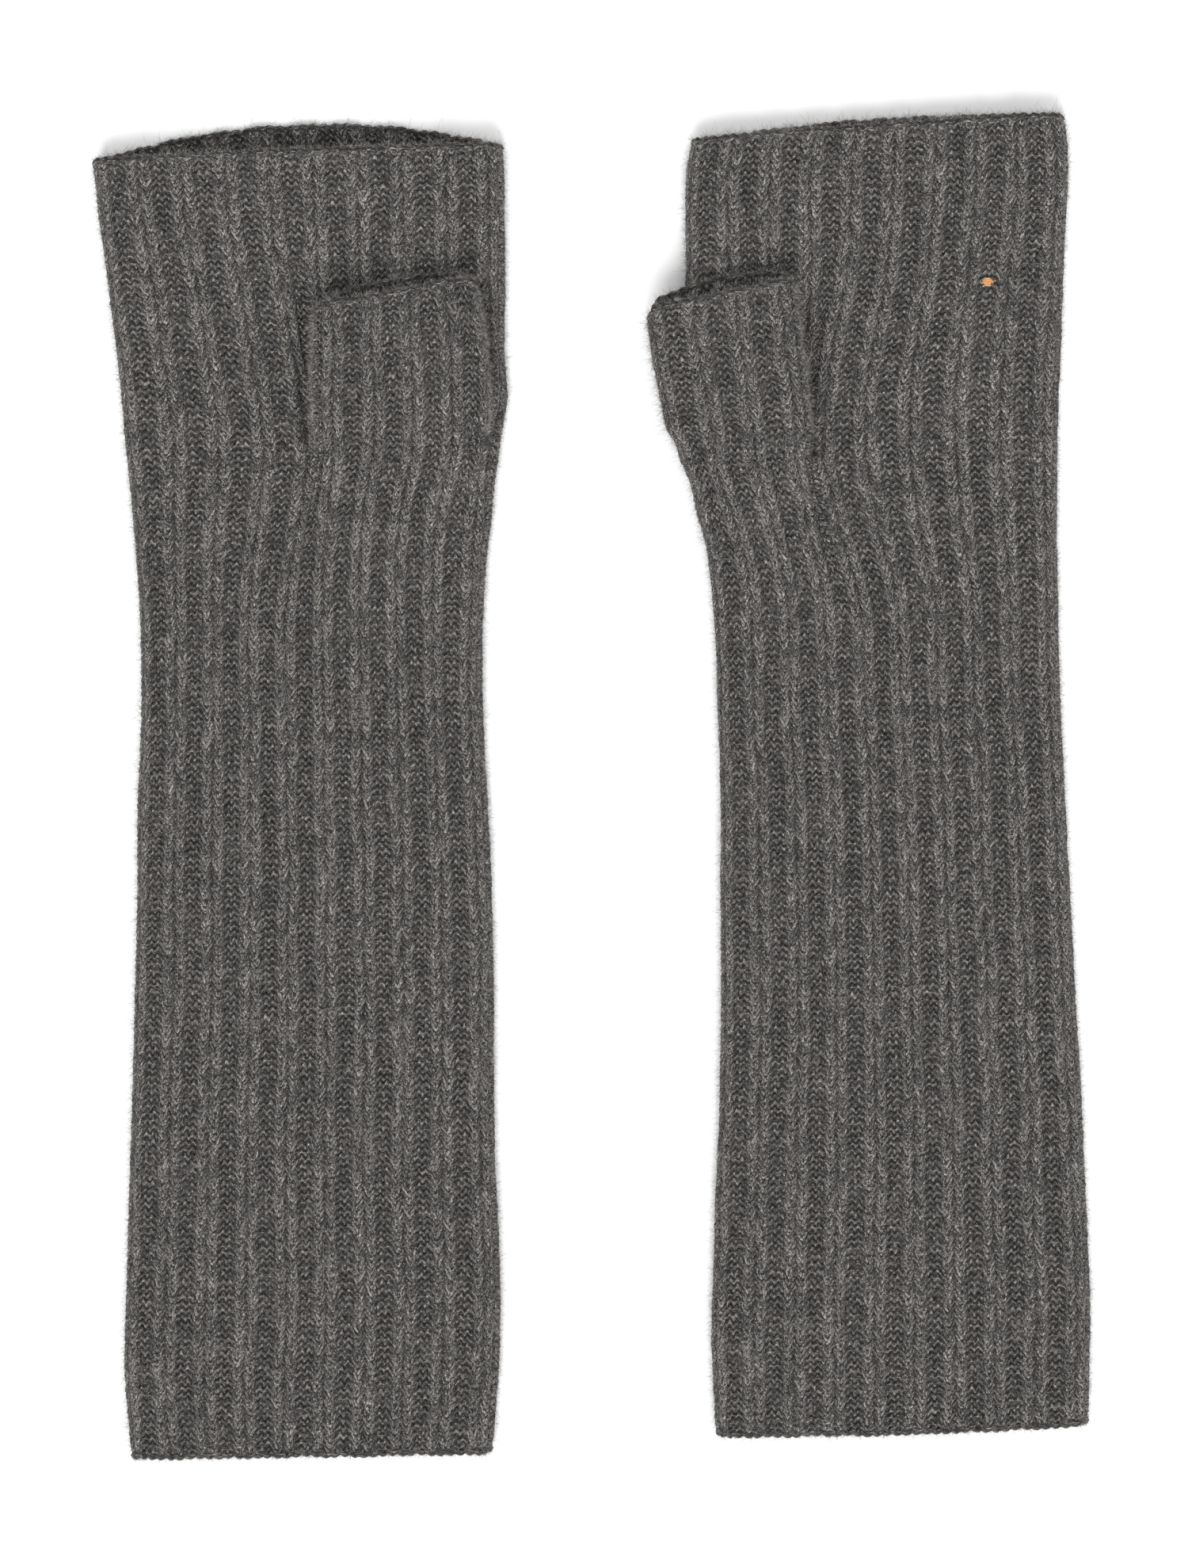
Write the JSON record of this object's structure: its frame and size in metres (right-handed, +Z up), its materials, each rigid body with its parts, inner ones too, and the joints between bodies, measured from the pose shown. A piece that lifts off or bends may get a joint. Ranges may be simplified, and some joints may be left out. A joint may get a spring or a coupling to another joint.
{
  "type": "pair of fingerless gloves",
  "caption": "Pair of long fingerless gloves in charcoal two-by-two rib, lying flat with short open thumbs, for warming hand, wrist and forearm.",
  "frame": {"origin": "on the surface the pair lies on, under the middle of the pair's box", "axes": "+Z up from the surface, +Y from the arm ends towards the finger openings, +X from the left glove to the right glove"},
  "size_m": [0.256, 0.3488, 0.0183],
  "materials": {
    "charcoal_rib": "brushed wool, heather charcoal, 2x2 rib",
    "charcoal_edge": "brushed wool, heather charcoal, chain of edge stitches",
    "tan_thread": "plain tan sewing thread"
  },
  "bodies": {
    "left_forearm": {"left_forearm_tube": "charcoal_rib", "left_cast_on_edge": "charcoal_edge"},
    "left_hand": {"left_hand_tube": "charcoal_rib", "left_finger_bind_off": "charcoal_edge"},
    "left_thumb": {"left_thumb_tube": "charcoal_rib", "left_thumb_bind_off": "charcoal_edge"},
    "right_forearm": {"right_forearm_tube": "charcoal_rib", "right_cast_on_edge": "charcoal_edge"},
    "right_hand": {"right_hand_tube": "charcoal_rib", "right_finger_bind_off": "charcoal_edge", "right_contrast_tack": "tan_thread"},
    "right_thumb": {"right_thumb_tube": "charcoal_rib", "right_thumb_bind_off": "charcoal_edge"}
  },
  "joints": [
    {"name": "left_wrist_bend", "type": "hinge", "parent": "left_forearm", "child": "left_hand", "pos_m": [-0.07237, 0.03337, 0.0094], "axis": [1, 0, 0], "range_deg": [0, 80]},
    {"name": "left_thumb_lift", "type": "hinge", "parent": "left_hand", "child": "left_thumb", "pos_m": [-0.0495, 0.08452, 0.0183], "axis": [1, 0, 0], "range_deg": [0, 80]},
    {"name": "pair_apart", "type": "slide", "parent": "left_forearm", "child": "right_forearm", "axis": [1, 0, 0], "range_m": [0, 0.2]},
    {"name": "right_wrist_bend", "type": "hinge", "parent": "right_forearm", "child": "right_hand", "pos_m": [0.07613, 0.03337, 0.0094], "axis": [1, 0, 0], "range_deg": [0, 80]},
    {"name": "right_thumb_lift", "type": "hinge", "parent": "right_hand", "child": "right_thumb", "pos_m": [0.03918, 0.08462, 0.0183], "axis": [1, 0, 0], "range_deg": [0, 80]}
  ]
}
